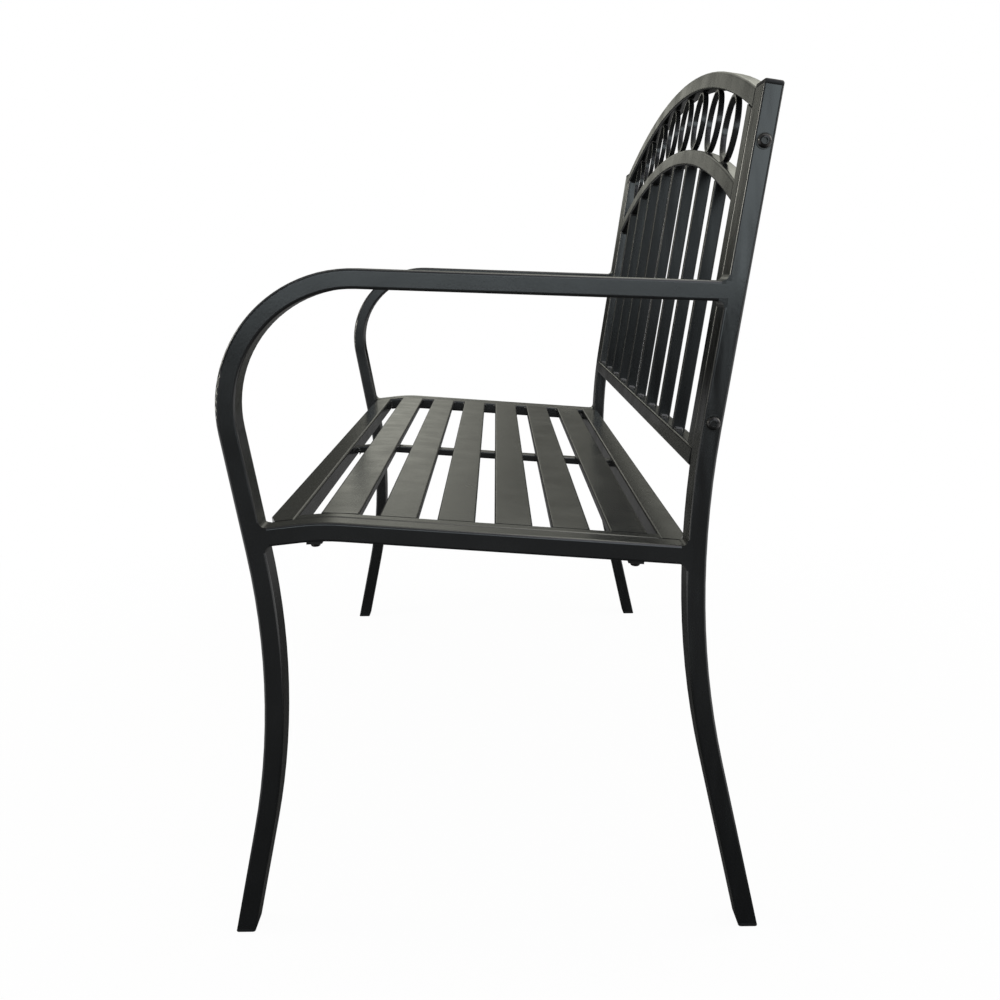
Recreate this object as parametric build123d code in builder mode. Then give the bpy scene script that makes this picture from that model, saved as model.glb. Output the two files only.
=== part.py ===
from build123d import *
import math
import os

os.makedirs("parts", exist_ok=True)

# A garden bench of welded and powder-coated steel tube, bolted together from
# two side frames, a seat panel and a back panel. The bench faces -Y and stands on Z = 0;
# right and left are as seen from its front. Lengths are in millimetres, angles in degrees.

# Whole bench
bench_length = 1260.0             # over the outer faces of the side frames
bench_depth = 574.0               # from the front toes to the rear edge of the back arch
seat_height = 449.0               # to the crest of the seat, close behind its front rail
back_lean = 9.0

# Side frame tube
frame_width = 40.0                # along the bench
frame_depth = 20.0                # in the plane of the side frame
tube_wall = 1.2
tube_corner_radius = 3.0

# Front leg, elbow and arm in one tube, given as a bender would: runs and centre-line bends
front_shin_lean = 12.0
front_shin_length = 118.3
front_knee_radius = 790.0
front_thigh_lean = 10.0
front_thigh_length = 124.1
elbow_radius = 128.0
arm_fall = 2.5

# Rear leg and back post in one tube, followed from its top downwards
post_crown_height = 80.0          # from the crown of the arch down to the cut end of the post
post_straight_length = 332.5
post_bend_radius = 1010.0
rear_shin_lean = 12.6
rear_knee_radius = 890.0

# Side rail of the seat, which closes each side frame
side_rail_width = 30.0
seat_rail_height = 20.0
seat_front_slope = 6.0
seat_rear_slope = 4.5
crest_offset = 60.0               # from the rear face of the front leg to the crest of the seat
crest_radius = 230.0

# Seat panel
panel_gap = 1.0                   # between a panel and the side frame beside it
end_tube_width = 20.0
front_rail_width = 30.0
rear_rail_width = 30.0
panel_tuck_depth = 5.7            # how far the seat panel passes the front face of the posts
corner_cut_inner_length = 24.0    # length of a corner cut inboard of the legs
corner_cut_clearance = 0.85       # clearance between a corner cut and the leg
slat_count = 6
slat_width = 40.0
slat_thickness = 10.0
slat_wall = 1.0
slat_corner_radius = 2.0
front_slat_gap = 23.0
rear_slat_gap = 10.5
brace_width = 20.0

# Lugs under the seat panel, which the side rails are bolted to
lug_width = 16.0
lug_thickness = 3.0
lug_root_offset = 3.0             # between a lug's root and the inner face of the end tube
lug_tip_length = 10.0             # from the bolt to the free end of the lug
front_lug_offset = 51.6
rear_lug_offset = 56.1

# Back panel
back_panel_height = 456.4         # along the lean, from its bottom rail to the crown of its arch
stile_width = 30.0
back_rail_height = 20.0
seat_to_back_gap = 46.8           # from the crest of the seat up to the bottom rail of the back
arch_height = 20.0
arch_rise_height = 77.8
arch_end_length = 15.0            # straight end of an arched tube
ring_diameter = 73.0
ring_thickness = 3.0
ring_depth = 6.5
ring_offset = 2.0                 # of the rings in front of the middle of the panel
back_slat_count = 8
back_slat_width = 10.0
back_slat_depth = 15.0
back_slat_offset = 0.5            # between the front faces of the slats and of the panel
lower_bolt_height = 51.0          # from the underside of the bottom rail
upper_bolt_depth = 52.0           # from the top of the post

# Screws, washers and weld nuts, whose forms are shares of their screw's diameter
seat_bolt_diameter = 6.0
seat_bolt_length = 14.0
back_bolt_diameter = 8.0
back_bolt_length = 52.0
head_width_share = 1.75
head_height_share = 0.55
head_rim_share = 0.1
dome_width_share = 1.5
dome_height_share = 0.38
head_top_share = 0.88
socket_width_share = 0.62
socket_depth_share = 0.32
washer_width_share = 2.0
washer_thickness_share = 0.2
nut_width_share = 1.62
nut_height_share = 0.81
thread_clearance = 0.05
hole_clearance = 0.25

# Plastic caps
foot_cap_thickness = 4.0
foot_cap_edge_radius = 0.8
post_cap_thickness = 3.5
post_cap_edge_width = 1.2
plug_height = 14.0
plug_clearance = 0.2

overrun_length = 30.0             # how far cutting shapes and uncut tubes run past their cuts

# Places along the bench
frame_x = bench_length / 2 - frame_width / 2
leg_inner_x = bench_length / 2 - frame_width
side_rail_x = bench_length / 2 - side_rail_width / 2
seat_end_x = bench_length / 2 - side_rail_width - panel_gap
end_tube_x = seat_end_x - end_tube_width / 2
slat_end_x = seat_end_x - end_tube_width
back_end_x = leg_inner_x - panel_gap
stile_x = back_end_x - stile_width / 2
stile_inner_x = back_end_x - stile_width
sides = {"right": 1, "left": -1}

# The leaning plane that the back panel's and the posts' front faces share:
# its x runs along the bench, its y up the back and its z to the front
lean_sine = math.sin(math.radians(back_lean))
lean_cosine = math.cos(math.radians(back_lean))
back_foot = (seat_height + seat_to_back_gap) / lean_cosine
crown = back_foot + back_panel_height
back_foot_y = bench_depth / 2 - crown * lean_sine - frame_depth * lean_cosine
back_plane = Plane(origin=(0, back_foot_y, 0), x_dir=(1, 0, 0), z_dir=(0, -lean_cosine, lean_sine))
back_middle = back_plane.offset(-frame_depth / 2)

post_top = crown - post_crown_height
back_rail_top = back_foot + back_rail_height
bolt_rises = [back_foot + lower_bolt_height, post_top - upper_bolt_depth]


def export(piece, name):
    """Names a finished piece and writes its file."""
    piece.part.label = name
    export_step(piece.part, f"parts/{name}.step")


def tube_section(plane, width, depth, wall=tube_wall, corner=tube_corner_radius):
    """Cross-section of a rectangular tube, with its width along the plane's x."""
    with BuildSketch(plane) as section:
        RectangleRounded(width, depth, corner)
        Rectangle(width - 2 * wall, depth - 2 * wall, mode=Mode.SUBTRACT)
    return section.sketch


def bar_section(plane, width, depth, corner=tube_corner_radius):
    """Outer outline of a tube, for the envelopes that other tubes are coped to."""
    with BuildSketch(plane) as section:
        RectangleRounded(width, depth, corner)
    return section.sketch


def side_line(line, x):
    """A centre line of the side plane, carried to its place along the bench."""
    return Pos(x, 0, 0) * line


def section_plane(line):
    """Plane across the start of a centre line, with its x along the bench."""
    return Plane(origin=line @ 0, x_dir=(1, 0, 0), z_dir=line % 0)


def crossing(first, second):
    """Point where two curves of the side plane meet."""
    distance, point, other_point = first.distance_to_with_closest_points(second)
    return point


def direction(angle):
    """Unit direction of the side plane, turned from +Y towards +Z."""
    return Vector(0, math.cos(math.radians(angle)), math.sin(math.radians(angle)))


# Centre line of the front leg and arm, from below the floor up to beyond the post
half_sole = frame_depth / 2 / math.cos(math.radians(front_shin_lean))
up_the_shin = direction(90 - front_shin_lean)
shin_start = Vector(0, half_sole - bench_depth / 2, 0) - up_the_shin * overrun_length
with BuildLine(Plane.YZ) as front_builder:
    shin = PolarLine(shin_start, front_shin_length + overrun_length, direction=up_the_shin)
    knee = JernArc(shin @ 1, shin % 1, front_knee_radius, front_shin_lean + front_thigh_lean)
    thigh = PolarLine(knee @ 1, front_thigh_length, direction=knee % 1)
    elbow = JernArc(thigh @ 1, thigh % 1, elbow_radius, -(90 + front_thigh_lean + arm_fall))
    PolarLine(elbow @ 1, bench_depth, direction=elbow % 1)
front_line = front_builder.wire()

# Centre line of the post and rear leg, from the top down to below the floor
post_start = back_middle.from_local_coords((0, post_top, 0))
with BuildLine(Plane.YZ) as rear_builder:
    post = PolarLine(post_start, post_straight_length, direction=direction(270 - back_lean))
    post_bend = JernArc(post @ 1, post % 1, post_bend_radius, back_lean)
    rear_knee = JernArc(post_bend @ 1, post_bend % 1, rear_knee_radius, rear_shin_lean)
    PolarLine(rear_knee @ 1, seat_height, direction=rear_knee % 1)
rear_line = rear_builder.wire()

# Centre line of the seat: its crest stands behind the front leg, and both runs pass the legs
seat_level = seat_height - seat_rail_height / 2
crest_level = Edge.make_line((0, -bench_depth, seat_level), (0, bench_depth, seat_level))
half_leg = frame_depth / 2 / math.cos(math.radians(front_thigh_lean))
crest = Vector(0, crossing(front_line, crest_level).Y + half_leg + crest_offset, seat_level)
seat_front_end = crest + direction(180 + seat_front_slope) * (crest_offset + frame_depth)
seat_rear_end = crest + direction(-seat_rear_slope) * bench_depth
with BuildLine() as seat_builder:
    FilletPolyline(seat_front_end, crest, seat_rear_end, radius=crest_radius)
seat_line = seat_builder.wire()


def half_thickness(line, point, other_line):
    """Length along one centre line that half of the tube it meets takes up."""
    other_tangent = other_line.tangent_at(other_line.param_at_point(point))
    tangent = line.tangent_at(line.param_at_point(point))
    return frame_depth / 2 / tangent.cross(other_tangent).length


# The seat panel lies between the rear face of the leg and just past the front face of the post
leg_meeting = crossing(seat_line, front_line)
post_meeting = crossing(seat_line, rear_line)
panel_start = (leg_meeting - seat_line @ 0).length + half_thickness(seat_line, leg_meeting, front_line)
post_face = (
    seat_line.length
    - (seat_line @ 1 - post_meeting).length
    - half_thickness(seat_line, post_meeting, rear_line)
)
panel_end = post_face + panel_tuck_depth
slat_room = (
    panel_end - panel_start - front_rail_width - rear_rail_width - front_slat_gap - rear_slat_gap
)
slat_pitch = (slat_room - slat_width) / (slat_count - 1)
first_slat = panel_start + front_rail_width + front_slat_gap + slat_width / 2


def seat_plane(distance):
    """Plane of the seat at a distance along it: x along the bench, y rearwards, z up."""
    tangent = seat_line.tangent_at(distance, position_mode=PositionMode.LENGTH)
    point = seat_line.position_at(distance, position_mode=PositionMode.LENGTH)
    return Plane(origin=point, x_dir=(1, 0, 0), z_dir=(0, -tangent.Z, tangent.Y))


def seat_cut(distance):
    """Plane across the seat at a distance along it, facing rearwards."""
    tangent = seat_line.tangent_at(distance, position_mode=PositionMode.LENGTH)
    point = seat_line.position_at(distance, position_mode=PositionMode.LENGTH)
    return Plane(origin=point, x_dir=(1, 0, 0), z_dir=tangent)


lug_places = {"front": panel_start + front_lug_offset, "rear": panel_end - rear_lug_offset}
lug_face = -seat_rail_height / 2
washer_face = lug_face - lug_thickness
seat_bolt_face = washer_face - washer_thickness_share * seat_bolt_diameter


def seat_bolt_places(height):
    """Locations on the four seat bolts at a height over the seat's centre line, facing up."""
    places = []
    for side in sides.values():
        for distance in lug_places.values():
            plane = seat_plane(distance)
            origin = plane.from_local_coords((side * side_rail_x, 0, height))
            places.append(Plane(origin=origin, x_dir=(1, 0, 0), z_dir=plane.z_dir).location)
    return places


def back_bolt_places(x):
    """Locations on the four back bolts at a distance from the bench's middle, facing inwards."""
    places = []
    for side in sides.values():
        for rise in bolt_rises:
            origin = back_middle.from_local_coords((side * x, rise, 0))
            places.append(Plane(origin=origin, x_dir=(0, 1, 0), z_dir=(-side, 0, 0)).location)
    return places


def bolt_bore(diameter, depth, places):
    """Holes for bolts, to be cut, each starting at a location and running along its z."""
    with BuildPart() as bore:
        with Locations(*places):
            Cylinder(
                diameter / 2 + hole_clearance,
                depth,
                align=(Align.CENTER, Align.CENTER, Align.MIN),
            )
    return bore.part


seat_bore_depth = lug_thickness + seat_rail_height / 2
back_bore_depth = frame_width + panel_gap + stile_width / 2
seat_bores = bolt_bore(seat_bolt_diameter, seat_bore_depth, seat_bolt_places(washer_face))
back_bores = bolt_bore(back_bolt_diameter, back_bore_depth, back_bolt_places(bench_length / 2))

# Envelopes of the bent tubes, which the tubes that meet them are coped to
with BuildPart() as seat_band:
    band_line = side_line(seat_line, 0)
    sweep(bar_section(section_plane(band_line), bench_length, seat_rail_height), path=band_line)

envelopes = {}
for side_name, side in sides.items():
    front_path = side_line(front_line, side * frame_x)
    rear_path = side_line(rear_line, side * frame_x)
    with BuildPart() as side_envelope:
        sweep(bar_section(section_plane(front_path), frame_width, frame_depth), path=front_path)
        sweep(bar_section(section_plane(rear_path), frame_width, frame_depth), path=rear_path)
    envelopes[side_name] = side_envelope.part

# Side frames: two bent tubes and the seat's side rail between them
floor_cut = Plane.XY.offset(foot_cap_thickness)
for side_name, side in sides.items():
    front_path = side_line(front_line, side * frame_x)
    rear_path = side_line(rear_line, side * frame_x)
    rail_path = side_line(seat_line, side * side_rail_x)

    with BuildPart() as front_leg:
        sweep(tube_section(section_plane(front_path), frame_width, frame_depth), path=front_path)
        split(bisect_by=floor_cut, keep=Keep.TOP)
        split(bisect_by=back_plane, keep=Keep.TOP)
    export(front_leg, f"{side_name}_front_leg_and_arm")

    with BuildPart() as rear_leg:
        sweep(tube_section(section_plane(rear_path), frame_width, frame_depth), path=rear_path)
        split(bisect_by=floor_cut, keep=Keep.TOP)
        add(back_bores, mode=Mode.SUBTRACT)
    export(rear_leg, f"{side_name}_rear_leg")

    with BuildPart() as side_rail:
        sweep(tube_section(section_plane(rail_path), side_rail_width, seat_rail_height), path=rail_path)
        split(bisect_by=seat_cut((leg_meeting - seat_line @ 0).length), keep=Keep.TOP)
        split(bisect_by=seat_cut(panel_end), keep=Keep.BOTTOM)
        add(envelopes[side_name], mode=Mode.SUBTRACT)
        add(seat_bores, mode=Mode.SUBTRACT)
    export(side_rail, f"{side_name}_seat_rail")

    # Plastic inserts: feet cut level with the floor, and a cap on the post
    for leg_name, leg, path, lean in (
        ("front", front_leg, front_path, front_shin_lean),
        ("rear", rear_leg, rear_path, -rear_shin_lean),
    ):
        up_the_leg = direction(90 - lean)
        tube_end = leg.faces().sort_by(Axis.Z)[0]
        floor_line = Edge.make_line((side * frame_x, -bench_depth, 0), (side * frame_x, bench_depth, 0))
        foot_point = crossing(path, floor_line)
        with BuildPart() as foot_cap:
            extrude(
                bar_section(
                    Plane(origin=foot_point, x_dir=(1, 0, 0), z_dir=up_the_leg),
                    frame_width - 2 * tube_wall - 2 * plug_clearance,
                    frame_depth - 2 * tube_wall - 2 * plug_clearance,
                    tube_corner_radius / 2,
                ),
                amount=foot_cap_thickness + plug_height,
            )
            split(bisect_by=floor_cut, keep=Keep.TOP)
            extrude(
                Face(tube_end.outer_wire()),
                amount=foot_cap_thickness / math.cos(math.radians(lean)),
                dir=-up_the_leg,
            )
            fillet(foot_cap.faces().sort_by(Axis.Z)[0].edges(), foot_cap_edge_radius)
        export(foot_cap, f"{side_name}_{leg_name}_foot_cap")

    post_end = Plane(origin=rear_path @ 0, x_dir=(1, 0, 0), z_dir=-(rear_path % 0))
    with BuildPart() as post_cap:
        extrude(bar_section(post_end, frame_width, frame_depth), amount=post_cap_thickness)
        chamfer(post_cap.faces().sort_by(Axis.Z)[-1].edges(), post_cap_edge_width)
        extrude(
            bar_section(
                post_end,
                frame_width - 2 * tube_wall - 2 * plug_clearance,
                frame_depth - 2 * tube_wall - 2 * plug_clearance,
                tube_corner_radius / 2,
            ),
            amount=-plug_height,
        )
    export(post_cap, f"{side_name}_post_cap")

    # End tube of the seat panel beside this frame, and its two bolting lugs
    end_path = side_line(seat_line, side * end_tube_x)
    with BuildPart() as end_tube:
        sweep(tube_section(section_plane(end_path), end_tube_width, seat_rail_height), path=end_path)
        split(bisect_by=seat_cut(panel_start + front_rail_width), keep=Keep.TOP)
        split(bisect_by=seat_cut(panel_end - rear_rail_width), keep=Keep.BOTTOM)
    export(end_tube, f"seat_{side_name}_end_tube")

    lug_root = slat_end_x + lug_root_offset
    lug_length = side_rail_x + lug_tip_length - lug_root
    for lug_name, distance in lug_places.items():
        with BuildPart() as lug:
            with BuildSketch(seat_plane(distance).offset(washer_face)):
                with Locations((side * (lug_root + lug_length / 2), 0)):
                    Rectangle(lug_length, lug_width)
            extrude(amount=2 * lug_thickness)
            add(seat_band.part, mode=Mode.SUBTRACT)
            add(seat_bores, mode=Mode.SUBTRACT)
        export(lug, f"seat_{side_name}_{lug_name}_lug")


def panel_rail(distance, width, outward):
    """Seat rail along the bench, closed at its ends, whose outward corners clear the legs."""
    cut_length = seat_end_x - leg_inner_x + corner_cut_inner_length
    cut_depth = (panel_tuck_depth + corner_cut_clearance) * cut_length / corner_cut_inner_length
    with BuildSketch(seat_plane(distance)) as plan:
        with BuildLine():
            Polyline(
                (-seat_end_x, -outward * width / 2),
                (seat_end_x, -outward * width / 2),
                (seat_end_x, outward * (width / 2 - cut_depth)),
                (seat_end_x - cut_length, outward * width / 2),
                (cut_length - seat_end_x, outward * width / 2),
                (-seat_end_x, outward * (width / 2 - cut_depth)),
                close=True,
            )
        make_face()
    with BuildPart() as rail:
        extrude(plan.sketch, amount=seat_rail_height / 2, both=True)
        fillet(rail.edges().filter_by(Axis.X), tube_corner_radius)
        extrude(
            offset(plan.sketch, amount=-tube_wall, kind=Kind.INTERSECTION, mode=Mode.PRIVATE),
            amount=seat_rail_height / 2 - tube_wall,
            both=True,
            mode=Mode.SUBTRACT,
        )
    return rail


# Seat panel: cross rails, slats and the brace under them
export(panel_rail(panel_start + front_rail_width / 2, front_rail_width, -1), "seat_front_rail")
export(panel_rail(panel_end - rear_rail_width / 2, rear_rail_width, 1), "seat_rear_rail")

for index in range(slat_count):
    rest = seat_plane(first_slat + index * slat_pitch)
    slat_origin = rest.from_local_coords((-slat_end_x, 0, seat_rail_height / 2 - slat_thickness / 2))
    slat_plane = Plane(origin=slat_origin, x_dir=rest.y_dir, z_dir=(1, 0, 0))
    with BuildPart() as slat:
        extrude(
            tube_section(slat_plane, slat_width, slat_thickness, slat_wall, slat_corner_radius),
            amount=2 * slat_end_x,
        )
    export(slat, f"seat_slat_{index + 1}")

# The brace lies under the slats; across the seat line, the section's y points down
brace_height = seat_rail_height - slat_thickness
with BuildPart() as brace:
    with BuildSketch(section_plane(seat_line)):
        with Locations((0, (seat_rail_height - brace_height) / 2)):
            RectangleRounded(brace_width, brace_height, slat_corner_radius)
            Rectangle(brace_width - 2 * slat_wall, brace_height - 2 * slat_wall, mode=Mode.SUBTRACT)
    sweep(path=seat_line)
    split(bisect_by=seat_cut(panel_start + front_rail_width), keep=Keep.TOP)
    split(bisect_by=seat_cut(panel_end - rear_rail_width), keep=Keep.BOTTOM)
export(brace, "seat_centre_brace")

# Back panel: two concentric arches with rings between them, over stiles, bottom rail and slats
arch_radius = (back_end_x**2 + arch_rise_height**2) / (2 * arch_rise_height)
arch_centre = crown - arch_radius
lower_arch_radius = arch_radius - arch_height - ring_diameter
ring_line_radius = arch_radius - arch_height - ring_diameter / 2
back_slat_gap = (2 * stile_inner_x - back_slat_count * back_slat_width) / (back_slat_count + 1)
back_slat_pitch = back_slat_gap + back_slat_width
back_slat_xs = [
    (index - (back_slat_count - 1) / 2) * back_slat_pitch for index in range(back_slat_count)
]


def arch(outer_radius, half_width):
    """Arched tube of the back with short straight ends, cut upright at half a width on each side."""
    middle_radius = outer_radius - arch_height / 2
    half_angle = math.degrees(math.asin((half_width - arch_end_length) / middle_radius))
    with BuildLine() as arch_line:
        bend = CenterArc((0, arch_centre), middle_radius, 90 - half_angle, 2 * half_angle)
        Line(bend @ 0, bend @ 0 - bend % 0 * (arch_end_length + overrun_length))
        Line(bend @ 1, bend @ 1 + bend % 1 * (arch_end_length + overrun_length))
    line = back_middle * arch_line.wire()
    start = Plane(origin=line @ 0, x_dir=back_plane.z_dir, z_dir=line % 0)
    with BuildPart() as tube:
        sweep(tube_section(start, frame_depth, arch_height), path=line)
        split(bisect_by=Plane.YZ.offset(half_width), keep=Keep.BOTTOM)
        split(bisect_by=Plane.YZ.offset(-half_width), keep=Keep.TOP)
    return tube


def under_arch(radius):
    """Leaning disc that fills the space under an arch, to trim the uprights to it."""
    with BuildSketch(back_middle) as disc:
        with Locations((0, arch_centre)):
            Circle(radius)
    return extrude(disc.sketch, amount=frame_depth, both=True, mode=Mode.PRIVATE)


export(arch(arch_radius, back_end_x), "back_top_arch")
export(arch(lower_arch_radius, stile_inner_x), "back_lower_arch")

under_top_arch = under_arch(arch_radius - arch_height)
under_lower_arch = under_arch(lower_arch_radius - arch_height)

for side_name, side in sides.items():
    foot = back_middle.from_local_coords((side * stile_x, back_rail_top, 0))
    stile_plane = Plane(origin=foot, x_dir=(1, 0, 0), z_dir=back_plane.y_dir)
    with BuildPart() as stile:
        extrude(tube_section(stile_plane, stile_width, frame_depth), amount=crown - back_rail_top)
        add(under_top_arch, mode=Mode.INTERSECT)
        add(back_bores, mode=Mode.SUBTRACT)
    export(stile, f"back_{side_name}_stile")

rail_origin = back_middle.from_local_coords((-back_end_x, back_foot + back_rail_height / 2, 0))
rail_plane = Plane(origin=rail_origin, x_dir=back_plane.y_dir, z_dir=(1, 0, 0))
with BuildPart() as back_rail:
    extrude(tube_section(rail_plane, back_rail_height, frame_depth), amount=2 * back_end_x)
export(back_rail, "back_bottom_rail")

for index, x in enumerate(back_slat_xs):
    foot = back_plane.from_local_coords((x, back_rail_top, -back_slat_offset - back_slat_depth / 2))
    upright_plane = Plane(origin=foot, x_dir=(1, 0, 0), z_dir=back_plane.y_dir)
    with BuildPart() as back_slat:
        extrude(
            tube_section(upright_plane, back_slat_width, back_slat_depth, slat_wall, slat_corner_radius),
            amount=crown - back_rail_top,
        )
        add(under_lower_arch, mode=Mode.INTERSECT)
    export(back_slat, f"back_slat_{index + 1}")

    ring_rise = arch_centre + math.sqrt(ring_line_radius**2 - x**2)
    with BuildPart() as ring:
        with BuildSketch(back_middle.offset(ring_offset)):
            with Locations((x, ring_rise)):
                Circle(ring_diameter / 2)
                Circle(ring_diameter / 2 - ring_thickness, mode=Mode.SUBTRACT)
        extrude(amount=ring_depth / 2, both=True)
    export(ring, f"back_ring_{index + 1}")


def button_bolt(diameter, length):
    """Round-headed socket screw that points along +Z, with its head below Z = 0."""
    head_width = head_width_share * diameter
    head_height = head_height_share * diameter
    top_width = head_top_share * diameter
    with BuildPart() as bolt:
        with BuildSketch(Plane.XZ):
            with BuildLine():
                Line((0, 0), (head_width / 2, 0))
                Line((head_width / 2, 0), (head_width / 2, -head_rim_share * diameter))
                ThreePointArc(
                    (head_width / 2, -head_rim_share * diameter),
                    (dome_width_share * diameter / 2, -dome_height_share * diameter),
                    (top_width / 2, -head_height),
                )
                Line((top_width / 2, -head_height), (0, -head_height))
                Line((0, -head_height), (0, 0))
            make_face()
        revolve(axis=Axis.Z)
        with BuildSketch(Plane.XY):
            Circle(diameter / 2)
        extrude(amount=length)
        with BuildSketch(Plane.XY.offset(-head_height)):
            RegularPolygon(socket_width_share * diameter / 2, side_count=6, major_radius=False)
        extrude(amount=socket_depth_share * diameter, mode=Mode.SUBTRACT)
    return bolt.part


def washer_disc(diameter):
    """Flat washer for a screw, which lies on Z = 0."""
    with BuildSketch() as face:
        Circle(washer_width_share * diameter / 2)
        Circle(diameter / 2 + hole_clearance, mode=Mode.SUBTRACT)
    return extrude(face.sketch, amount=washer_thickness_share * diameter, mode=Mode.PRIVATE)


def hexagon_nut(diameter):
    """Weld nut for a screw, which stands on Z = 0."""
    with BuildSketch() as face:
        RegularPolygon(nut_width_share * diameter / 2, side_count=6, major_radius=False)
        Circle(diameter / 2 + thread_clearance, mode=Mode.SUBTRACT)
    return extrude(face.sketch, amount=nut_height_share * diameter, mode=Mode.PRIVATE)


seat_bolt_seats = seat_bolt_places(seat_bolt_face)
back_bolt_seats = back_bolt_places(bench_length / 2 + washer_thickness_share * back_bolt_diameter)
fastener_groups = {
    "seat_bolts": (button_bolt(seat_bolt_diameter, seat_bolt_length), seat_bolt_seats),
    "seat_washers": (washer_disc(seat_bolt_diameter), seat_bolt_seats),
    "seat_weld_nuts": (hexagon_nut(seat_bolt_diameter), seat_bolt_places(lug_face + tube_wall)),
    "back_bolts": (button_bolt(back_bolt_diameter, back_bolt_length), back_bolt_seats),
    "back_washers": (washer_disc(back_bolt_diameter), back_bolt_seats),
    "back_weld_nuts": (hexagon_nut(back_bolt_diameter), back_bolt_places(back_end_x - tube_wall)),
}
for group_name, (fastener, places) in fastener_groups.items():
    with BuildPart() as group:
        with Locations(*places):
            add(fastener)
    export(group, group_name)
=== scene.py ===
# %% [markdown]
# # Metal garden bench
#
# A bench of black powder-coated steel tube: two bent side frames, a seat panel and a back panel
# with a row of rings under its arch. The CAD frame is loaded first. Then its pieces get their
# finish, small pieces that only show up close are added, and the camera, lamps and backdrop
# are set.

# %% Frame
import math

import bmesh
import bpy
from mathutils import Matrix, Vector


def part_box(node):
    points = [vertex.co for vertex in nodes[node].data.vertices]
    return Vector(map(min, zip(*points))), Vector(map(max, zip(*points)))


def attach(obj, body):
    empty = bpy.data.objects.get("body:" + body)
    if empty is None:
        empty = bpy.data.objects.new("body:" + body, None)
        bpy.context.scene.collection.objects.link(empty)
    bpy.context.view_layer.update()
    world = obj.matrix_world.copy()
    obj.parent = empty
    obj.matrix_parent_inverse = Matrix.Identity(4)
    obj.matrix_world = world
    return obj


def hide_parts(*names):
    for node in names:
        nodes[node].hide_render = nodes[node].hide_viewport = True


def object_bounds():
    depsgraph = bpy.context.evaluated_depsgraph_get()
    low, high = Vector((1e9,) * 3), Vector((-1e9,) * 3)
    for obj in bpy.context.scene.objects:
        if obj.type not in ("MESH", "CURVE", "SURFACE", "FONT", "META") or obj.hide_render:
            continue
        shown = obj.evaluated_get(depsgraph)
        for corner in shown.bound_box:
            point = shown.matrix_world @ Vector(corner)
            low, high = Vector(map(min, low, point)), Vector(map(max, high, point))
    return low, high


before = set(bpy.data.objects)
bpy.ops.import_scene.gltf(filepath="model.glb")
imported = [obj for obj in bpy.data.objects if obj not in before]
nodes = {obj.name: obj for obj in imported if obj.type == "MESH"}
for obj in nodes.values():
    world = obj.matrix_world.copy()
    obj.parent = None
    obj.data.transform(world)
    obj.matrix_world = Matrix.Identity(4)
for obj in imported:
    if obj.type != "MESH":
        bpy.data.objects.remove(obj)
cad_low, cad_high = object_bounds()
print(len(nodes), "CAD nodes, from", tuple(cad_low), "to", tuple(cad_high))

# %% [markdown]
# ## Shared surface effects
#
# Powder coat is sprayed on as dust and baked, so it flows into a fine skin like orange peel, with
# a slightly uneven gloss. Under it the wall of a rolled tube has wide shallow dents. A skin and an
# uneven gloss return in the plastic and in the steel, so each effect is a node group with its own
# values in every material.

# %% Node group helpers
MILLIMETRE = 0.001


def new_group(name, inputs, outputs):
    """Shader node group with float inputs (name, value) and outputs (name, socket type)."""
    group = bpy.data.node_groups.new(name, "ShaderNodeTree")
    vector = group.interface.new_socket("Vector", in_out="INPUT", socket_type="NodeSocketVector")
    vector.hide_value = True
    for title, value in inputs:
        socket = group.interface.new_socket(title, in_out="INPUT", socket_type="NodeSocketFloat")
        socket.default_value = value
    for title, kind in outputs:
        group.interface.new_socket(title, in_out="OUTPUT", socket_type=kind)
    return group, group.nodes.new("NodeGroupInput"), group.nodes.new("NodeGroupOutput")


def maths(tree, operation, first, second):
    """Math node; each operand is a socket or a number."""
    node = tree.nodes.new("ShaderNodeMath")
    node.operation = operation
    for socket, value in zip(node.inputs, (first, second)):
        if isinstance(value, bpy.types.NodeSocket):
            tree.links.new(value, socket)
        else:
            socket.default_value = value
    return node.outputs[0]


def noise(tree, vector, scale, detail=2.0):
    """Noise texture at a scale that is a socket."""
    node = tree.nodes.new("ShaderNodeTexNoise")
    node.inputs["Detail"].default_value = detail
    tree.links.new(vector, node.inputs["Vector"])
    tree.links.new(scale, node.inputs["Scale"])
    return node.outputs["Fac"]


print("one unit is a metre, so a millimetre is", MILLIMETRE)

# %% Orange peel group
peel_group, peel_in, peel_out = new_group(
    "orange_peel",
    [
        ("Cell Scale", 260.0),
        ("Grain Scale", 1400.0),
        ("Grain Share", 0.15),
        ("Dent Scale", 24.0),
        ("Dent Share", 5.0),
    ],
    [("Height", "NodeSocketFloat")],
)
cells = noise(peel_group, peel_in.outputs["Vector"], peel_in.outputs["Cell Scale"])
grain = noise(peel_group, peel_in.outputs["Vector"], peel_in.outputs["Grain Scale"], detail=0.0)
dents = noise(peel_group, peel_in.outputs["Vector"], peel_in.outputs["Dent Scale"], detail=1.0)
grain_part = maths(peel_group, "MULTIPLY", grain, peel_in.outputs["Grain Share"])
dent_part = maths(peel_group, "MULTIPLY", dents, peel_in.outputs["Dent Share"])
fine_part = maths(peel_group, "ADD", cells, grain_part)
peel_group.links.new(maths(peel_group, "ADD", fine_part, dent_part), peel_out.inputs["Height"])
print("group", peel_group.name)

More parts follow.
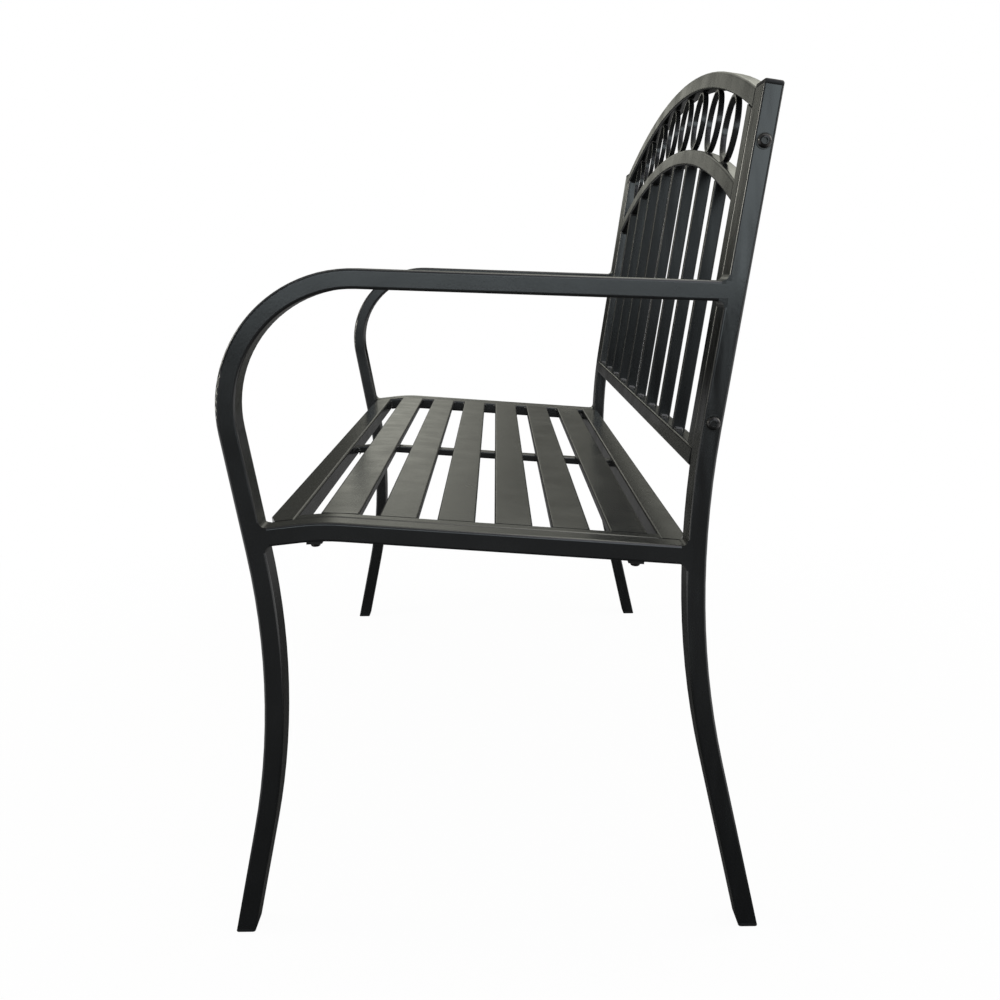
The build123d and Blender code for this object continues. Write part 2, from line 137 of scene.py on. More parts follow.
# %% Uneven finish group
NOISE_MIDDLE = 0.5
uneven_group, uneven_in, uneven_out = new_group(
    "uneven_finish",
    [("Patch Scale", 9.0), ("Roughness", 0.4), ("Roughness Swing", 0.1), ("Lightness Swing", 0.3)],
    [("Roughness", "NodeSocketFloat"), ("Lightness", "NodeSocketFloat")],
)
patches = noise(
    uneven_group, uneven_in.outputs["Vector"], uneven_in.outputs["Patch Scale"], detail=5.0
)
swing = maths(uneven_group, "SUBTRACT", patches, NOISE_MIDDLE)
rougher = maths(uneven_group, "MULTIPLY", swing, uneven_in.outputs["Roughness Swing"])
lighter = maths(uneven_group, "MULTIPLY", swing, uneven_in.outputs["Lightness Swing"])
roughness_out = maths(uneven_group, "ADD", uneven_in.outputs["Roughness"], rougher)
lightness_out = maths(uneven_group, "ADD", 1.0, lighter)
uneven_group.links.new(roughness_out, uneven_out.inputs["Roughness"])
uneven_group.links.new(lightness_out, uneven_out.inputs["Lightness"])
print("group", uneven_group.name)

# %% [markdown]
# ## Materials
#
# Almost every finish on the bench is dark: the powder coat, the moulded plastic of the caps and
# the blackened steel of the screws. Only the weld nuts inside the tubes are bright. The finishes
# differ in gloss and in grain, so one function sets up the Principled shader with both groups,
# and each finish gives it its own values. The coat of the rear legs with their posts, the stiles
# and the slats of the back has patches that are drawn out upwards, so it has two variants.


# %% Finish function
def finish(
    name, colour, roughness, metallic, specular, peel_depth, cell_scale, patch_scale, swings,
    run=(1, 1, 1),
):
    """Finish with peel in its normal and patches in its gloss, drawn out where run is low."""
    material = bpy.data.materials.new(name)
    material.use_nodes = True
    tree = material.node_tree
    shader = tree.nodes["Principled BSDF"]
    shader.inputs["Metallic"].default_value = metallic
    shader.inputs["Specular IOR Level"].default_value = specular
    place = tree.nodes.new("ShaderNodeTexCoord").outputs["Object"]

    uneven = tree.nodes.new("ShaderNodeGroup")
    uneven.node_tree = uneven_group
    uneven.inputs["Patch Scale"].default_value = patch_scale
    uneven.inputs["Roughness"].default_value = roughness
    uneven.inputs["Roughness Swing"].default_value = swings[0]
    uneven.inputs["Lightness Swing"].default_value = swings[1]
    stretch = tree.nodes.new("ShaderNodeVectorMath")
    stretch.operation = "MULTIPLY"
    stretch.inputs[1].default_value = run
    tree.links.new(place, stretch.inputs[0])
    tree.links.new(stretch.outputs["Vector"], uneven.inputs["Vector"])
    tree.links.new(uneven.outputs["Roughness"], shader.inputs["Roughness"])

    tint = tree.nodes.new("ShaderNodeVectorMath")
    tint.operation = "SCALE"
    tint.inputs[0].default_value = colour
    tree.links.new(uneven.outputs["Lightness"], tint.inputs["Scale"])
    tree.links.new(tint.outputs["Vector"], shader.inputs["Base Color"])

    peel = tree.nodes.new("ShaderNodeGroup")
    peel.node_tree = peel_group
    peel.inputs["Cell Scale"].default_value = cell_scale
    tree.links.new(place, peel.inputs["Vector"])
    bump = tree.nodes.new("ShaderNodeBump")
    bump.inputs["Distance"].default_value = peel_depth
    tree.links.new(peel.outputs["Height"], bump.inputs["Height"])
    tree.links.new(bump.outputs["Normal"], shader.inputs["Normal"])
    print("finish", name)
    return material


# %% Powder coats
COAT_COLOUR = (0.0080, 0.0087, 0.0088)
COAT_PEEL_DEPTH = 0.032 * MILLIMETRE
COAT_CELL_SCALE = 420.0
powder_coat = finish(
    "powder_coat",
    colour=COAT_COLOUR,
    roughness=0.22,
    metallic=0.0,
    specular=0.8,
    peel_depth=COAT_PEEL_DEPTH,
    cell_scale=COAT_CELL_SCALE,
    patch_scale=18.0,
    swings=(0.24, 0.5),
)
upright_coat = finish(
    "upright_powder_coat",
    colour=COAT_COLOUR,
    roughness=0.22,
    metallic=0.0,
    specular=0.8,
    peel_depth=COAT_PEEL_DEPTH,
    cell_scale=COAT_CELL_SCALE,
    patch_scale=80.0,
    swings=(0.5, 0.6),
    run=(1, 1, 0.14),
)
slat_coat = finish(
    "slat_powder_coat",
    colour=COAT_COLOUR,
    roughness=0.26,
    metallic=0.0,
    specular=0.4,
    peel_depth=COAT_PEEL_DEPTH,
    cell_scale=COAT_CELL_SCALE,
    patch_scale=60.0,
    swings=(0.4, 0.8),
    run=(1, 1, 0.12),
)

# %% Plastic and steel
cap_plastic = finish(
    "cap_plastic",
    colour=(0.011, 0.011, 0.0115),
    roughness=0.52,
    metallic=0.0,
    specular=0.45,
    peel_depth=0.03 * MILLIMETRE,
    cell_scale=900.0,
    patch_scale=30.0,
    swings=(0.1, 0.4),
)
black_steel = finish(
    "black_steel",
    colour=(0.05, 0.049, 0.048),
    roughness=0.26,
    metallic=0.85,
    specular=0.5,
    peel_depth=0.02 * MILLIMETRE,
    cell_scale=700.0,
    patch_scale=60.0,
    swings=(0.2, 0.4),
)
plain_steel = finish(
    "plain_steel",
    colour=(0.46, 0.45, 0.43),
    roughness=0.38,
    metallic=1.0,
    specular=0.5,
    peel_depth=0.02 * MILLIMETRE,
    cell_scale=500.0,
    patch_scale=60.0,
    swings=(0.2, 0.3),
)

# %% Finishes onto the CAD nodes
for name, node in nodes.items():
    if name.endswith("cap"):
        material = cap_plastic
    elif name.endswith(("bolts", "washers")):
        material = black_steel
    elif name.endswith("nuts"):
        material = plain_steel
    elif name.startswith("back_slat"):
        material = slat_coat
    elif name.endswith(("rear_leg", "stile")):
        material = upright_coat
    else:
        material = powder_coat
    node.data.materials.clear()
    node.data.materials.append(material)
print("finishes set on", len(nodes), "nodes")

# %% [markdown]
# ## Directions on the bench
#
# Every tube of the bench lies in one of a few directions: across it, or in the side plane at the
# lean of the back, the slope of the seat or the slope of an arm. Named directions let the welds
# and caps say where they go in words.

# %% Directions
ACROSS = Vector((1, 0, 0))
BACK_ANGLE = 81
SEAT_FRONT_ANGLE = 186
SEAT_REAR_ANGLE = -4.5
ARM_ANGLE = -2.5


def side_direction(degrees):
    """Unit direction in the side plane, turned from the rear upwards."""
    return Vector((0, math.cos(math.radians(degrees)), math.sin(math.radians(degrees))))


to_the_rear = side_direction(0)
to_the_front = side_direction(180)
under_the_seat = side_direction(-90)
up_the_back = side_direction(BACK_ANGLE)
out_of_the_back = side_direction(BACK_ANGLE + 90)
seat_front_run = side_direction(SEAT_FRONT_ANGLE)
seat_rear_run = side_direction(SEAT_REAR_ANGLE)
arm_run = side_direction(ARM_ANGLE)
print("the back leans", 90 - BACK_ANGLE, "degrees from upright")

# %% [markdown]
# ## Welds
#
# On the real bench a fillet of weld fills each corner where two tubes meet, and the powder coat
# covers it, so a joint shows as a soft concave step. A fillet is made from one vertex that is spun
# into the hollow arc between both tubes, closed to a section and extruded along the joint, a little
# narrower at every other step for the ripple. Where a joint runs is measured on the CAD pieces: the
# edge of a tube's end is the part of its mesh that lies furthest towards the end and the side.

# %% Measuring helpers
# A vertex on an edge is found by weighing the tube's end most, its side next and the edge's end least
END_WEIGHT = 3.0
EDGE_WEIGHT = 0.01


def far_point(node, direction):
    """Vertex of a CAD node that lies furthest along a direction."""
    return max((vertex.co for vertex in nodes[node].data.vertices), key=direction.dot).copy()


def lie_of(node):
    """Direction in the side plane along which a node's vertices spread the furthest."""
    points = [vertex.co for vertex in nodes[node].data.vertices]
    middle = sum(points, Vector()) / len(points)
    offsets = [point - middle for point in points]
    mixed = sum(offset.y * offset.z for offset in offsets)
    difference = sum(offset.y**2 - offset.z**2 for offset in offsets)
    return side_direction(math.degrees(math.atan2(2 * mixed, difference) / 2))


def end_edge(node, tube_end, side, along):
    """Both ends of the edge where one side of a tube meets the end of it."""
    aim = END_WEIGHT * tube_end + side
    return [far_point(node, aim + sign * EDGE_WEIGHT * along) for sign in (-1, 1)]


print("top of the back", round(far_point("back_top_arch", up_the_back).z, 4), "m")

# %% Weld fillet
ARC_STEPS = 4
FEWEST_STEPS = 3
WELD_STEP = 1.6 * MILLIMETRE


def weld_fillet(mesh, start, end, along_face, along_tube, leg, depth, ripple, end_size):
    """Hollow fillet between a face and a tube, extruded along their joint with a fine ripple."""
    opening = along_face.angle(along_tube)
    diagonal = (along_face + along_tube).normalized()
    centre = start + diagonal * leg / math.cos(opening / 2)
    first = mesh.verts.new(start + along_face * leg)
    last_corner = start + along_tube * leg
    axis = (first.co - centre).cross(last_corner - centre)
    turn = (math.pi - opening) / ARC_STEPS
    arc = [first]
    for step in range(ARC_STEPS):
        turned = bmesh.ops.spin(mesh, geom=[arc[-1]], cent=centre, axis=axis, angle=turn, steps=1)
        arc.append(next(item for item in turned["geom_last"] if isinstance(item, bmesh.types.BMVert)))
    roots = (
        last_corner - along_face * depth,
        start - (along_face + along_tube) * depth,
        start + along_face * leg - along_tube * depth,
    )
    section = mesh.faces.new([*arc, *(mesh.verts.new(root) for root in roots)])
    steps = max(FEWEST_STEPS, round((end - start).length / WELD_STEP))
    size = 1.0
    place = start.copy()
    for step in range(steps + 1):
        if step:
            passed = section
            grown = bmesh.ops.extrude_face_region(mesh, geom=[passed])["geom"]
            section = next(item for item in grown if isinstance(item, bmesh.types.BMFace))
            if step > 1:
                mesh.faces.remove(passed)
            bmesh.ops.translate(mesh, verts=section.verts, vec=(end - start) / steps)
            place += (end - start) / steps
        wanted = end_size if step in (0, steps) else (1.0, ripple)[step % 2]
        bmesh.ops.scale(
            mesh, verts=section.verts, vec=[wanted / size] * 3, space=Matrix.Translation(-place)
        )
        size = wanted


print("a weld has", ARC_STEPS, "facets and a step every", WELD_STEP, "m")

# %% Welds along a tube's end
WELD_RIPPLE = 0.93
WELD_START = 0.35
WELD_OVERLAP = 0.4 * MILLIMETRE
CORNER_DEPTH = 3.0 * MILLIMETRE
GROUND_RISE = 0.1 * MILLIMETRE
FLAT_WEIGHT = 0.3


def weld_side(mesh, node, tube_end, side, along, leg, reach=(0.0, 1.0)):
    """Fillet along one side of a tube's end, or along a share of that side."""
    start, end = end_edge(node, tube_end, side, along)
    opposite = end_edge(node, tube_end, -side, along)
    along_face = (start - opposite[0]).normalized()
    first, last = (start.lerp(end, share) for share in reach)
    weld_fillet(mesh, first, last, along_face, -tube_end, leg, WELD_OVERLAP, WELD_RIPPLE, WELD_START)


def flush_weld_side(mesh, node, tube_end, side, leg):
    """Smooth fillet across a tube's whole width, ground flush with its outer faces."""
    low_x, high_x = (corner[0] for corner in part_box(node))
    inward = -math.copysign(FLAT_WEIGHT, low_x) * ACROSS
    start, opposite = (
        far_point(node, END_WEIGHT * tube_end + sign * side + inward) for sign in (1, -1)
    )
    along_face = (start - opposite).normalized()
    first, last = start.copy(), start.copy()
    first.x = low_x - GROUND_RISE
    last.x = high_x + GROUND_RISE
    weld_fillet(mesh, first, last, along_face, -tube_end, leg, CORNER_DEPTH, 1.0, 1.0)


print("a weld starts at", WELD_START, "of its size and overlaps the tubes by", WELD_OVERLAP, "m")

# %% Ground welds and finished weld pieces
# How far a ground weld starts behind the tube's end and has its root past it, in corner depths
GROUND_BEHIND = 0.5
GROUND_ROOT = 0.2


def ground_weld(mesh, node, tube_end, side, out):
    """Weld ground flush where a tube's outer face runs on into the rounded tube that it meets."""
    corner, opposite = (
        far_point(node, END_WEIGHT * tube_end + sign * side + EDGE_WEIGHT * out) for sign in (1, -1)
    )
    flush = max(out.dot(vertex.co) for vertex in nodes[node].data.vertices) + GROUND_RISE
    start = opposite + out * (flush - out.dot(opposite))
    depth = CORNER_DEPTH * tube_end
    section = [
        start - GROUND_BEHIND * depth,
        start + depth,
        start + GROUND_ROOT * depth - out * CORNER_DEPTH,
    ]
    face = mesh.faces.new([mesh.verts.new(point) for point in section])
    grown = bmesh.ops.extrude_face_region(mesh, geom=[face])["geom"]
    moved = [item for item in grown if isinstance(item, bmesh.types.BMVert)]
    bmesh.ops.translate(mesh, verts=moved, vec=corner - opposite)


def linked_object(name, mesh, material, smooth):
    """Object made from a finished bmesh, in one material, linked into the scene."""
    for face in mesh.faces:
        face.smooth = smooth
    data = bpy.data.meshes.new(name)
    mesh.to_mesh(data)
    mesh.free()
    data.materials.append(material)
    made = bpy.data.objects.new(name, data)
    bpy.context.scene.collection.objects.link(made)
    print(name, len(data.polygons), "faces")
    return made


def weld_piece(name, mesh, smooth=True):
    """Finished object of a group of welds, under the powder coat."""
    bmesh.ops.recalc_face_normals(mesh, faces=mesh.faces)
    piece = linked_object(name, mesh, powder_coat, smooth)
    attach(piece, "root")


# %% Welds of the side frames
FRAME_LEG = 6.0 * MILLIMETRE
frame_welds = bmesh.new()
for hand in ("right", "left"):
    for side in (up_the_back, -up_the_back):
        flush_weld_side(frame_welds, f"{hand}_front_leg_and_arm", arm_run, side, FRAME_LEG)
        for rail_run in (seat_front_run, seat_rear_run):
            flush_weld_side(frame_welds, f"{hand}_seat_rail", rail_run, side, FRAME_LEG)
weld_piece("side_frame_welds", frame_welds, smooth=False)

# %% Ground welds of the side frames
ground_welds = bmesh.new()
for hand, out in (("right", ACROSS), ("left", -ACROSS)):
    for arm_out in (out, -out):
        ground_weld(ground_welds, f"{hand}_front_leg_and_arm", arm_run, up_the_back, arm_out)
    for rail_run in (seat_front_run, seat_rear_run):
        ground_weld(ground_welds, f"{hand}_seat_rail", rail_run, up_the_back, out)
weld_piece("side_frame_ground_welds", ground_welds, smooth=False)

# %% Welds of the seat panel
# A lug is welded only along the part of its edge that lies under the end tube
SEAT_LEG = 3.0 * MILLIMETRE
LUG_REACHES = {"right": (0.05, 0.4), "left": (0.6, 0.95)}
seat_welds = bmesh.new()
for name in nodes:
    if name.startswith("seat_slat"):
        slat_rear = lie_of(name)
        slat_down = slat_rear.cross(ACROSS)
        for slat_end in (ACROSS, -ACROSS):
            weld_side(seat_welds, name, slat_end, slat_rear, slat_down, SEAT_LEG)
            weld_side(seat_welds, name, slat_end, -slat_rear, slat_down, SEAT_LEG)
            weld_side(seat_welds, name, slat_end, slat_down, slat_rear, SEAT_LEG)
for rail_run in (seat_front_run, seat_rear_run):
    for side in (ACROSS, -ACROSS):
        weld_side(seat_welds, "seat_centre_brace", rail_run, side, under_the_seat, SEAT_LEG)
    weld_side(seat_welds, "seat_centre_brace", rail_run, under_the_seat, ACROSS, SEAT_LEG)
    weld_side(seat_welds, "seat_right_end_tube", rail_run, -ACROSS, under_the_seat, SEAT_LEG)
    weld_side(seat_welds, "seat_left_end_tube", rail_run, ACROSS, under_the_seat, SEAT_LEG)
for hand, reach in LUG_REACHES.items():
    for lug in (f"seat_{hand}_front_lug", f"seat_{hand}_rear_lug"):
        for side in (to_the_rear, to_the_front):
            weld_side(seat_welds, lug, -under_the_seat, side, ACROSS, SEAT_LEG, reach)
weld_piece("seat_welds", seat_welds)

# %% Welds of the back panel
BACK_LEG = 3.0 * MILLIMETRE
ARCH_END_ACROSS = 0.97
ARCH_END_DOWN = 0.24
back_welds = bmesh.new()
for name in nodes:
    if name.startswith("back_slat"):
        for slat_end in (up_the_back, -up_the_back):
            for side in (ACROSS, -ACROSS):
                weld_side(back_welds, name, slat_end, side, out_of_the_back, BACK_LEG)
        weld_side(back_welds, name, -up_the_back, -out_of_the_back, ACROSS, BACK_LEG)
for hand, outward in (("right", ACROSS), ("left", -ACROSS)):
    for stile_end in (up_the_back, -up_the_back):
        weld_side(back_welds, f"back_{hand}_stile", stile_end, -outward, out_of_the_back, BACK_LEG)
    arch_end = (outward * ARCH_END_ACROSS - up_the_back * ARCH_END_DOWN).normalized()
    for side in (up_the_back, -up_the_back):
        weld_side(back_welds, "back_lower_arch", arch_end, side, out_of_the_back, BACK_LEG)
print("welds of the back so far", len(back_welds.faces), "faces")

# %% [markdown]
# ## Beads of the rings
#
# Each ring touches both arches, and a short flat bead fills the wedges on either side of the
# contact. A squashed sphere on the contact does both wedges at once. The arches' direction is
# taken from how far the ring stands from the middle of the bench.

# %% Beads of the rings
# Half sizes of a bead: along the arch, through the panel and outwards
RING_BEAD_SIZE = Vector((9.0, 3.4, 2.0)) * MILLIMETRE
ARCH_TURN_PER_METRE = 0.41
for name in nodes:
    if name.startswith("back_ring"):
        ring_low, ring_high = (Vector(corner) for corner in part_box(name))
        ring_centre = (ring_low + ring_high) / 2
        ring_radius = (ring_high.x - ring_low.x) / 2
        arch_out = (up_the_back + ACROSS * ARCH_TURN_PER_METRE * ring_centre.x).normalized()
        arch_along = arch_out.cross(out_of_the_back)
        turn = Matrix((arch_along, -out_of_the_back, arch_out)).transposed().to_4x4()
        for sign in (-1, 1):
            contact = ring_centre + sign * ring_radius * arch_out
            place = Matrix.Translation(contact) @ turn @ Matrix.Diagonal((*RING_BEAD_SIZE, 1.0))
            bmesh.ops.create_uvsphere(
                back_welds, u_segments=16, v_segments=8, radius=1.0, matrix=place
            )
weld_piece("back_welds", back_welds)

# %% [markdown]
# ## Post caps
#
# A moulded cap closes the top of each post, and its rim is well rounded. The solid of the CAD frame
# only has a small chamfer there, so a cube is set on the end of the post, its upright edges are
# rounded like the tube's and its top edge gets a wide soft bevel.

# %% Post cap shape
CAP_WIDTH = 40.0 * MILLIMETRE
CAP_DEPTH = 20.0 * MILLIMETRE
CAP_SEAT = 3.5 * MILLIMETRE
CAP_HEIGHT = 5.2 * MILLIMETRE
CAP_CORNER = 3.0 * MILLIMETRE
CAP_RIM = 2.6 * MILLIMETRE
UPRIGHT_COSINE = 0.9


def bevel_edges(mesh, edges, radius):
    """Rounds a set of edges."""
    bmesh.ops.bevel(
        mesh, geom=edges, offset=radius, affect="EDGES", segments=5, profile=0.5, material=-1
    )


def post_cap_shape(cap_top):
    """Rounded cap whose plain solid has the middle of its top at a given point."""
    cap_middle = cap_top + (CAP_HEIGHT / 2 - CAP_SEAT) * up_the_back
    turn = Matrix((ACROSS, -out_of_the_back, up_the_back)).transposed().to_4x4()
    cap_size = Matrix.Diagonal((CAP_WIDTH, CAP_DEPTH, CAP_HEIGHT, 1.0))
    mesh = bmesh.new()
    bmesh.ops.create_cube(mesh, size=1.0, matrix=Matrix.Translation(cap_middle) @ turn @ cap_size)
    uprights = []
    for edge in mesh.edges:
        run = (edge.verts[1].co - edge.verts[0].co).normalized()
        if abs(run.dot(up_the_back)) > UPRIGHT_COSINE:
            uprights.append(edge)
    bevel_edges(mesh, uprights, CAP_CORNER)
    top_face = max(mesh.faces, key=lambda face: up_the_back.dot(face.calc_center_median()))
    bevel_edges(mesh, list(top_face.edges), CAP_RIM)
    return mesh


print("cap of", CAP_WIDTH, "by", CAP_DEPTH, "m, rim rounded by", CAP_RIM, "m")

# %% Rounded post caps
for hand in ("right", "left"):
    cap_node = f"{hand}_post_cap"
    corners = [
        far_point(cap_node, up_the_back + EDGE_WEIGHT * (across * ACROSS + out * out_of_the_back))
        for across in (-1, 1)
        for out in (-1, 1)
    ]
    cap_mesh = post_cap_shape(sum(corners, Vector()) / len(corners))
    cap = linked_object(f"{hand}_rounded_post_cap", cap_mesh, cap_plastic, smooth=True)
    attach(cap, "root")
    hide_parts(cap_node)

# %% [markdown]
# ## Camera
#
# The photograph was taken from beyond the bench's right side, at the height of the arms, looking
# along the bench and slightly down. The camera's axes are worked out from its heading, its tilt
# and a small roll, and its lens from the width of the picture.

# %% Camera
camera_place = Vector((1.8473, -0.0002, 0.6990))
camera_heading = math.radians(0.07)
camera_tilt = math.radians(10.685)
camera_roll = math.radians(-0.613)
picture_width = 1000
focal_pixels = 1234.2

ahead = Vector(
    (
        -math.cos(camera_tilt) * math.cos(camera_heading),
        math.cos(camera_tilt) * math.sin(camera_heading),
        -math.sin(camera_tilt),
    )
)
level_right = ahead.cross(Vector((0, 0, 1))).normalized()
level_up = level_right.cross(ahead)
right = level_right * math.cos(camera_roll) + level_up * math.sin(camera_roll)
up = level_up * math.cos(camera_roll) - level_right * math.sin(camera_roll)
camera_turn = Matrix((right, up, -ahead)).transposed().to_4x4()

camera_data = bpy.data.cameras.new("camera")
camera_data.lens = focal_pixels / picture_width * camera_data.sensor_width
camera = bpy.data.objects.new("camera", camera_data)
camera.matrix_world = Matrix.Translation(camera_place) @ camera_turn
bpy.context.scene.collection.objects.link(camera)
bpy.context.scene.camera = camera
print("camera lens", round(camera_data.lens, 2), "mm")

# %% [markdown]
# ## Floor
#
# The bench stands on a white floor in a white room. To the camera the floor is nearly all emission
# near the bench, with a small diffuse part that keeps a soft shadow, and all emission further out,
# where it meets the white of the world without an edge. Gloss sees another floor: Light Path lets
# the coat mirror a floor with darker paint and little emission under the bench, painted shade on
# top of its real shadow, dark past its ends too, and a light one further out in front and behind,
# as the black tubes of the photograph do.


# %% Floor and room helpers
def ramp(tree, value, between, levels):
    """Smooth step of a socket: from one level to another between two values of it."""
    node = tree.nodes.new("ShaderNodeMapRange")
    node.interpolation_type = "SMOOTHSTEP"
    titles = ("From Min", "From Max", "To Min", "To Max")
    for title, number in zip(titles, (*between, *levels)):
        node.inputs[title].default_value = number
    tree.links.new(value, node.inputs["Value"])
    return node.outputs["Result"]


def ray_masks(tree):
    """Masks of the rays that the camera watches, that gloss mirrors and that light diffusely."""
    seen = tree.nodes.new("ShaderNodeLightPath")
    watched = maths(
        tree, "MAXIMUM", seen.outputs["Is Camera Ray"], seen.outputs["Is Transmission Ray"]
    )
    return watched, seen.outputs["Is Glossy Ray"], seen.outputs["Is Diffuse Ray"]


print("helpers for ramps and ray masks")

# %% Floor disc
FLOOR_RADIUS = 12.0
floor_mesh = bpy.data.meshes.new("floor")
floor_bm = bmesh.new()
bmesh.ops.create_circle(floor_bm, cap_ends=True, radius=FLOOR_RADIUS, segments=64)
floor_bm.to_mesh(floor_mesh)
floor_bm.free()
floor = bpy.data.objects.new("floor", floor_mesh)
bpy.context.scene.collection.objects.link(floor)
print("floor", 2 * FLOOR_RADIUS, "m across")

# %% Places on the floor
floor_material = bpy.data.materials.new("floor")
floor_material.use_nodes = True
tree = floor_material.node_tree
floor_place = tree.nodes.new("ShaderNodeTexCoord").outputs["Object"]
floor_axes = tree.nodes.new("ShaderNodeSeparateXYZ")
tree.links.new(floor_place, floor_axes.inputs["Vector"])
length = tree.nodes.new("ShaderNodeVectorMath")
length.operation = "LENGTH"
tree.links.new(floor_place, length.inputs[0])
distance = length.outputs["Value"]
beside = maths(tree, "ABSOLUTE", floor_axes.outputs["Y"], 0.0)
sideways = maths(tree, "DIVIDE", beside, distance)
print("floor nodes", len(tree.nodes))

# %% Floor levels
# For gloss the floor's paint is darker and its emission only fades in away from the bench: painted
# shade under the bench, on top of the real shadow that its diffuse part gets
PAINT = 0.25
PAINT_MORE_WATCHED = 0.65
MIRRORED_PAINTED_SHADE = 0.2
watched, glossy, _ = ray_masks(tree)
white_share = maths(
    tree, "MULTIPLY", watched, ramp(tree, distance, between=(0.5, 1.7), levels=(0.96, 1.0))
)
# Emission that gloss sees: little near the bench, as painted shade, more further out
mirrored_shade_fade = ramp(tree, distance, between=(0.7, 2.0), levels=(0.01, 0.1))
beyond_share = maths(
    tree,
    "MULTIPLY",
    ramp(tree, sideways, between=(0.4, 0.75), levels=(0.0, 1.0)),
    ramp(tree, distance, between=(0.6, 1.4), levels=(0.0, 0.8)),
)
mirrored_share = maths(tree, "MULTIPLY", glossy, maths(tree, "ADD", beyond_share, mirrored_shade_fade))
emission_share = maths(tree, "ADD", white_share, mirrored_share)
paint = maths(tree, "ADD", maths(tree, "MULTIPLY", watched, PAINT_MORE_WATCHED), PAINT)
paint = maths(tree, "SUBTRACT", paint, maths(tree, "MULTIPLY", glossy, MIRRORED_PAINTED_SHADE))
print("floor nodes", len(tree.nodes))

# %% Floor shader
tree.nodes.remove(tree.nodes["Principled BSDF"])
diffuse = tree.nodes.new("ShaderNodeBsdfDiffuse")
tree.links.new(paint, diffuse.inputs["Color"])
glow = tree.nodes.new("ShaderNodeEmission")
mix = tree.nodes.new("ShaderNodeMixShader")
tree.links.new(emission_share, mix.inputs["Fac"])
tree.links.new(diffuse.outputs["BSDF"], mix.inputs[1])
tree.links.new(glow.outputs["Emission"], mix.inputs[2])
tree.links.new(mix.outputs["Shader"], tree.nodes["Material Output"].inputs["Surface"])
floor_mesh.materials.append(floor_material)
print("floor shader set")

# %% [markdown]
# ## Room
#
# The world is plain white to the camera. It lights the bench evenly, a little warm from the far
# end of the room and a little cool from the camera's end. What gloss mirrors is a dimmer room, as
# a studio is: its far end, beyond the bench's left side, is light in a narrow strip just above the
# floor, where the fronts of the arches and the tops of the slats mirror it at a shallow angle. The
# top of the arch mirrors a light panel high up behind the bench, and a dim band crosses the middle
# of the room for the faces that look forward or back. The coordinates of a world are directions,
# so X, Y and Z tell where a ray goes.

# %% Room directions
world = bpy.data.worlds.new("room")
bpy.context.scene.world = world
world.use_nodes = True
room = world.node_tree
sky_axes = room.nodes.new("ShaderNodeSeparateXYZ")
sky_place = room.nodes.new("ShaderNodeTexCoord").outputs["Generated"]
room.links.new(sky_place, sky_axes.inputs["Vector"])
sky_x, sky_y, sky_z = (sky_axes.outputs[axis] for axis in ("X", "Y", "Z"))
print("world", world.name)

# %% Light end of the room
end_level = ramp(room, sky_x, between=(-0.3, 0.5), levels=(0.82, 0.08))
above_floor = ramp(room, sky_z, between=(0.0, 0.14), levels=(0.06, 1.0))
below_top = ramp(room, sky_z, between=(0.15, 0.22), levels=(1.0, 0.6))
before_the_back = ramp(room, sky_y, between=(-0.09, 0.06), levels=(1.0, 0.18))
over_the_back = ramp(room, sky_z, between=(0.16, 0.3), levels=(0.0, 1.0))
before_the_back = maths(room, "MAXIMUM", before_the_back, over_the_back)
behind_the_front = ramp(room, sky_y, between=(-0.145, -0.10), levels=(0.12, 1.0))
for share in (above_floor, below_top, before_the_back, behind_the_front):
    end_level = maths(room, "MULTIPLY", end_level, share)
print("light end set")

# %% Panel, band and rise of the room
high_level = maths(
    room,
    "MULTIPLY",
    ramp(room, sky_z, between=(0.3, 0.42), levels=(0.0, 1.2)),
    ramp(room, sky_y, between=(0.02, 0.18), levels=(0.0, 1.0)),
)
band_level = maths(
    room,
    "MULTIPLY",
    ramp(room, sky_x, between=(-0.75, -0.45), levels=(0.0, 0.4)),
    ramp(room, sky_x, between=(0.45, 0.75), levels=(1.0, 0.0)),
)
rise_level = ramp(room, sky_z, between=(0.0, 0.5), levels=(0.0, 0.04))
room_level = maths(room, "MAXIMUM", maths(room, "ADD", end_level, high_level), band_level)
room_level = maths(room, "ADD", room_level, rise_level)
print("mirrored room set")

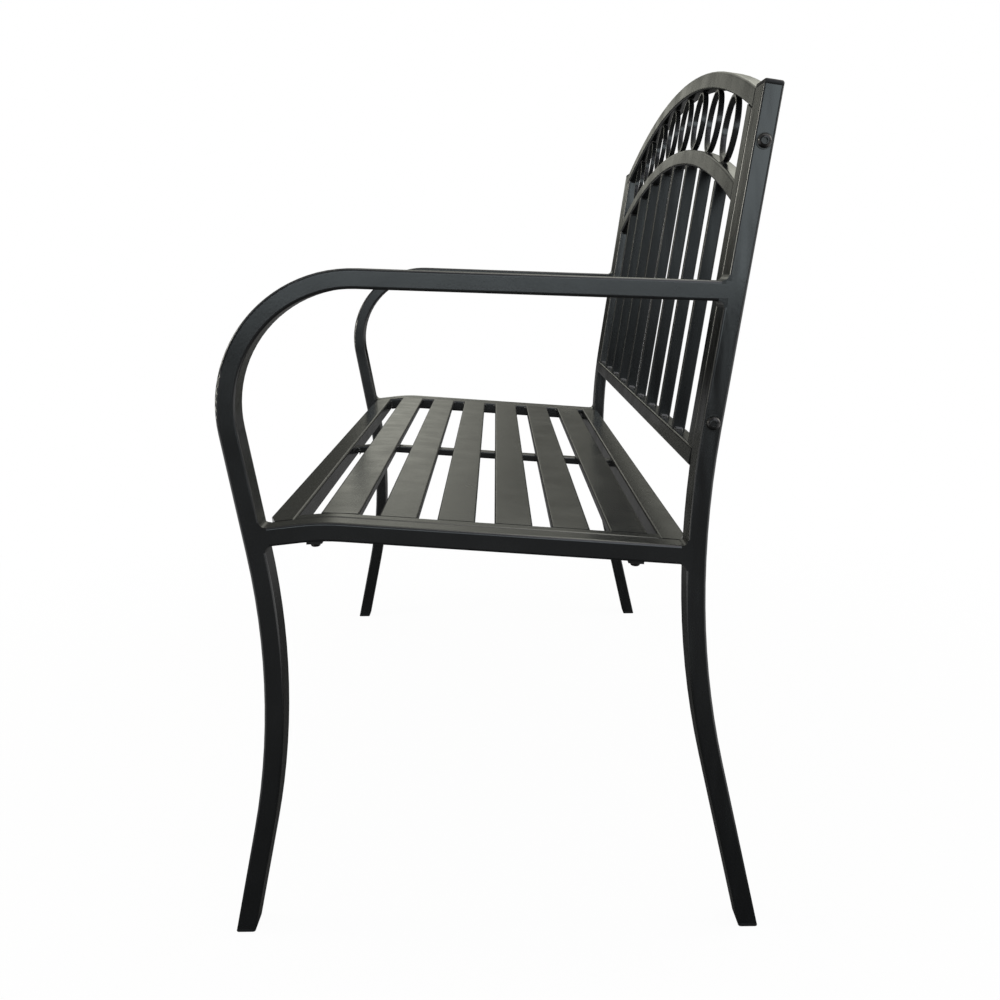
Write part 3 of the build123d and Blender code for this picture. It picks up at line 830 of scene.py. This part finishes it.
# %% Room strength and tint
DIFFUSE_LEVEL = 0.6
watched, glossy, diffused = ray_masks(room)
gloss_level = maths(room, "MULTIPLY", glossy, room_level)
diffuse_level = maths(room, "MULTIPLY", diffused, DIFFUSE_LEVEL)
level = maths(room, "MAXIMUM", maths(room, "MAXIMUM", watched, gloss_level), diffuse_level)
unwatched = maths(room, "SUBTRACT", 1.0, watched)
warmth = ramp(room, sky_x, between=(-0.3, 0.5), levels=(0.12, -0.10))
warmth = maths(room, "MULTIPLY", unwatched, warmth)
tint = room.nodes.new("ShaderNodeCombineColor")
tint.inputs["Red"].default_value = 1.0
tint.inputs["Green"].default_value = 1.0
room.links.new(maths(room, "SUBTRACT", 1.0, warmth), tint.inputs["Blue"])
background = room.nodes["Background"]
room.links.new(tint.outputs["Color"], background.inputs["Color"])
room.links.new(level, background.inputs["Strength"])
print("room strength set")

# %% [markdown]
# ## Lamps
#
# Four large soft lamps model the tubes without hard shadows: a warm one in front of the bench, a
# weak one above it, a wide cool one behind the camera for the faces of the near side frame, and
# one behind the bench.


# %% Lamps
def softbox(name, place, size, power, colour):
    """Area lamp that points at the middle of the bench."""
    lamp_data = bpy.data.lights.new(name, "AREA")
    lamp_data.shape = "RECTANGLE"
    lamp_data.size, lamp_data.size_y = size
    lamp_data.energy = power
    lamp_data.color = colour
    lamp = bpy.data.objects.new(name, lamp_data)
    place = Vector(place)
    facing = ((cad_low + cad_high) / 2 - place).to_track_quat("-Z", "Y")
    lamp.matrix_world = Matrix.Translation(place) @ facing.to_matrix().to_4x4()
    bpy.context.scene.collection.objects.link(lamp)
    print(name, power, "W")


softbox("front_lamp", (0.3, -2.9, 1.5), size=(1.0, 0.8), power=26.0, colour=(1.0, 0.97, 0.86))
softbox("top_lamp", (0.2, 0.3, 3.2), size=(1.2, 1.2), power=9.0, colour=(1.0, 0.985, 0.92))
softbox("side_lamp", (3.6, 0.3, 1.14), size=(3.6, 1.1), power=21.0, colour=(0.85, 0.96, 1.0))
softbox("back_lamp", (-0.4, 3.0, 1.7), size=(2.4, 1.8), power=30.0, colour=(1.0, 0.99, 0.97))

bpy.context.scene.view_settings.view_transform = "Standard"
